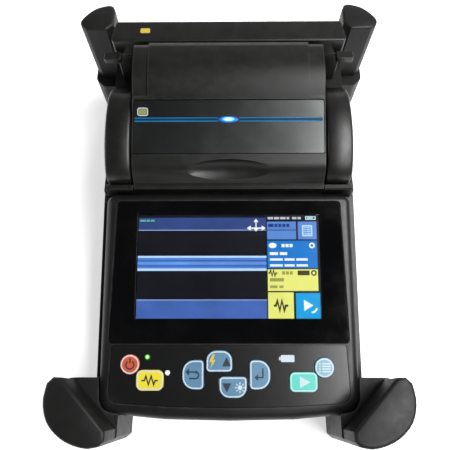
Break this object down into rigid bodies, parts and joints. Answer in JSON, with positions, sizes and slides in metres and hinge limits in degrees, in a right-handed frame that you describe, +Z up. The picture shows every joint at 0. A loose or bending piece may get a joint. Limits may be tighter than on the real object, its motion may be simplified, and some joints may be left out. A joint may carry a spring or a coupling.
{
  "type": "fiber fusion splicer",
  "caption": "Hand-held fibre fusion splicer with a tilted display and keypad, a hinged wind cover over the splicing bench, a tube heater behind it and rubber corner bumpers.",
  "frame": {"origin": "centre of the footprint on the table, under the four corner bumpers", "axes": "+X to the right across the keypad, +Y from the keypad to the heater at the rear, +Z up"},
  "size_m": [0.17, 0.2348, 0.09],
  "materials": {
    "shell": "fine textured charcoal moulding",
    "bumper_rubber": "matt black rubber",
    "screen": "clear cover glass with a black printed border",
    "black_gloss": "polished black",
    "keypad": "satin black film",
    "display": "lit colour display",
    "button_red": "satin",
    "button_yellow": "satin",
    "button_blue": "satin",
    "button_teal": "satin",
    "button_light_blue": "satin",
    "led_green": "lit lens",
    "white_plastic": "translucent white",
    "steel": "machined",
    "dark_metal": "black anodised",
    "circuit_board": "solder mask"
  },
  "bodies": {
    "battery": {"battery_pack": "shell"},
    "battery_latch": {"battery_latch": "keypad"},
    "port_door": {"port_door": "bumper_rubber"},
    "wind_cover": {"wind_cover": "shell", "cover_wing_left": "shell", "cover_wing_right": "shell", "cover_label_plate": "black_gloss", "cover_light_bar": "white_plastic", "cover_lamp": "white_plastic", "cover_hinge_pin": "steel"},
    "heater_lid": {"heater_lid": "shell", "heater_lid_tab_left": "shell", "heater_lid_tab_right": "shell"},
    "stage_left": {"fibre_stage_left": "dark_metal", "fibre_holder_left": "steel"},
    "stage_right": {"fibre_stage_right": "dark_metal", "fibre_holder_right": "steel"},
    "holder_lid_left": {"holder_lid_left": "keypad"},
    "holder_lid_right": {"holder_lid_right": "keypad"},
    "button_power": {"button_power": "button_red"},
    "button_heat": {"button_heat": "button_yellow"},
    "button_back": {"button_back": "button_blue"},
    "button_up": {"button_up": "button_blue"},
    "button_down": {"button_down": "button_blue"},
    "button_enter": {"button_enter": "button_blue"},
    "button_start": {"button_start": "button_teal"},
    "button_menu": {"button_menu": "button_light_blue"},
    "chassis": {"monitor_housing": "shell", "lower_case": "shell", "deck_plate": "shell", "heater_body": "shell", "bumper_front_left": "bumper_rubber", "bumper_front_right": "bumper_rubber", "bumper_rear_left": "bumper_rubber", "bumper_rear_right": "bumper_rubber", "screen_glass": "screen", "keypad_sheet": "keypad", "dc_jack": "keypad", "lcd_panel": "display", "led_power": "led_green", "led_heat": "white_plastic", "electrode_front": "steel", "electrode_rear": "steel", "heater_plate": "steel", "usb_port": "steel", "case_screw_1": "steel", "case_screw_2": "steel", "case_screw_3": "steel", "case_screw_4": "steel", "v_groove_block": "dark_metal", "electrode_clamp_front": "dark_metal", "electrode_clamp_rear": "dark_metal", "microscope_unit": "dark_metal", "hinge_post_left": "dark_metal", "hinge_post_right": "dark_metal", "main_board": "circuit_board"}
  },
  "joints": [
    {"name": "wind_cover_hinge", "type": "hinge", "parent": "chassis", "child": "wind_cover", "pos_m": [0, 0.0775, 0.084], "axis": [-1, 0, 0], "range_deg": [0, 90]},
    {"name": "heater_lid_hinge", "type": "hinge", "parent": "chassis", "child": "heater_lid", "pos_m": [0, 0.0985, 0.0763], "axis": [-1, 0, 0], "range_deg": [0, 95]},
    {"name": "stage_left_slide", "type": "slide", "parent": "chassis", "child": "stage_left", "axis": [1, 0, 0], "range_m": [0, 0.004]},
    {"name": "stage_right_slide", "type": "slide", "parent": "chassis", "child": "stage_right", "axis": [-1, 0, 0], "range_m": [0, 0.004]},
    {"name": "holder_lid_left_hinge", "type": "hinge", "parent": "stage_left", "child": "holder_lid_left", "pos_m": [-0.029, 0.042, 0.0643], "axis": [-1, 0, 0], "range_deg": [0, 88]},
    {"name": "holder_lid_right_hinge", "type": "hinge", "parent": "stage_right", "child": "holder_lid_right", "pos_m": [0.029, 0.042, 0.0643], "axis": [-1, 0, 0], "range_deg": [0, 88]},
    {"name": "button_power_press", "type": "slide", "parent": "chassis", "child": "button_power", "axis": [0, 0.2028, -0.9792], "range_m": [0, 0.0006], "stiffness_N_per_m": 800},
    {"name": "button_heat_press", "type": "slide", "parent": "chassis", "child": "button_heat", "axis": [0, 0.2028, -0.9792], "range_m": [0, 0.0006], "stiffness_N_per_m": 800},
    {"name": "button_back_press", "type": "slide", "parent": "chassis", "child": "button_back", "axis": [0, 0.2028, -0.9792], "range_m": [0, 0.0006], "stiffness_N_per_m": 800},
    {"name": "button_up_press", "type": "slide", "parent": "chassis", "child": "button_up", "axis": [0, 0.2028, -0.9792], "range_m": [0, 0.0006], "stiffness_N_per_m": 800},
    {"name": "button_down_press", "type": "slide", "parent": "chassis", "child": "button_down", "axis": [0, 0.2028, -0.9792], "range_m": [0, 0.0006], "stiffness_N_per_m": 800},
    {"name": "button_enter_press", "type": "slide", "parent": "chassis", "child": "button_enter", "axis": [0, 0.2028, -0.9792], "range_m": [0, 0.0006], "stiffness_N_per_m": 800},
    {"name": "button_start_press", "type": "slide", "parent": "chassis", "child": "button_start", "axis": [0, 0.2028, -0.9792], "range_m": [0, 0.0006], "stiffness_N_per_m": 800},
    {"name": "button_menu_press", "type": "slide", "parent": "chassis", "child": "button_menu", "axis": [0, 0.2028, -0.9792], "range_m": [0, 0.0006], "stiffness_N_per_m": 800},
    {"name": "battery_slide", "type": "slide", "parent": "chassis", "child": "battery", "axis": [1, 0, 0], "range_m": [0, 0.075]},
    {"name": "battery_latch_slide", "type": "slide", "parent": "battery", "child": "battery_latch", "axis": [0, 1, 0], "range_m": [0, 0.004], "stiffness_N_per_m": 300},
    {"name": "port_door_hinge", "type": "hinge", "parent": "chassis", "child": "port_door", "pos_m": [-0.0688, 0.035, 0.0134], "axis": [0, -1, 0], "range_deg": [0, 110]}
  ]
}
